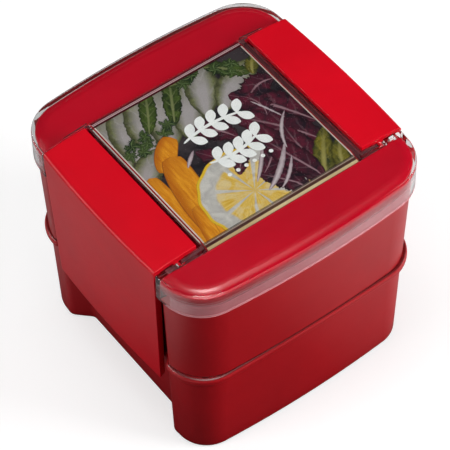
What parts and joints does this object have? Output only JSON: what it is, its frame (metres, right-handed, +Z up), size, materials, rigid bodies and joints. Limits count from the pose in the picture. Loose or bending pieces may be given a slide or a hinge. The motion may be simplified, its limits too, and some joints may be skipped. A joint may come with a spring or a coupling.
{
  "type": "lunch box",
  "caption": "Two-tier square lunch box with a clear outer lid over a printed card, soft inner lids, dividers and a wide hinged latch on each side.",
  "frame": {"origin": "centre of the flat base", "axes": "+Z up, X across the two latches, -Y towards the front"},
  "size_m": [0.1222, 0.1228, 0.1107],
  "materials": {
    "container_red": "satin moulded polypropylene",
    "latch_red": "satin moulded plastic",
    "insert_red": "satin moulded plastic",
    "clear_lid": "clear polished",
    "soft_lid": "soft milky translucent",
    "divider_white": "satin",
    "printed_card": "semi-gloss print of salad leaves"
  },
  "bodies": {
    "lower_container": {"lower_container": "container_red"},
    "lower_divider": {"lower_divider": "divider_white"},
    "lower_inner_lid": {"lower_inner_lid": "soft_lid"},
    "upper_container": {"upper_container": "container_red"},
    "upper_divider": {"upper_divider": "divider_white"},
    "upper_inner_lid": {"upper_inner_lid": "soft_lid"},
    "outer_lid": {"lid_shell": "clear_lid", "lid_insert": "insert_red", "picture_card": "printed_card"},
    "left_latch": {"left_latch": "latch_red"},
    "right_latch": {"right_latch": "latch_red"}
  },
  "joints": [
    {"name": "upper_tier_lift", "type": "slide", "parent": "lower_container", "child": "upper_container", "axis": [0, 0, 1], "range_m": [0, 0.12]},
    {"name": "lower_inner_lid_lift", "type": "slide", "parent": "lower_container", "child": "lower_inner_lid", "axis": [0, 0, 1], "range_m": [0, 0.096]},
    {"name": "lower_divider_lift", "type": "slide", "parent": "lower_container", "child": "lower_divider", "axis": [0, 0, 1], "range_m": [0, 0.054]},
    {"name": "lid_lift", "type": "slide", "parent": "upper_container", "child": "outer_lid", "axis": [0, 0, 1], "range_m": [0, 0.16]},
    {"name": "upper_inner_lid_lift", "type": "slide", "parent": "upper_container", "child": "upper_inner_lid", "axis": [0, 0, 1], "range_m": [0, 0.096]},
    {"name": "upper_divider_lift", "type": "slide", "parent": "upper_container", "child": "upper_divider", "axis": [0, 0, 1], "range_m": [0, 0.048]},
    {"name": "left_latch_hinge", "type": "hinge", "parent": "outer_lid", "child": "left_latch", "pos_m": [-0.0485, 0, 0.1062], "axis": [0, 1, 0], "range_deg": [0, 45]},
    {"name": "right_latch_hinge", "type": "hinge", "parent": "outer_lid", "child": "right_latch", "pos_m": [0.0485, 0, 0.1062], "axis": [0, -1, 0], "range_deg": [0, 45]}
  ],
  "couplings": [
    {"joint": "lower_inner_lid_lift", "follows": "upper_tier_lift", "ratio": 0.8},
    {"joint": "lower_divider_lift", "follows": "upper_tier_lift", "ratio": 0.45},
    {"joint": "upper_inner_lid_lift", "follows": "lid_lift", "ratio": 0.6},
    {"joint": "upper_divider_lift", "follows": "lid_lift", "ratio": 0.3}
  ]
}
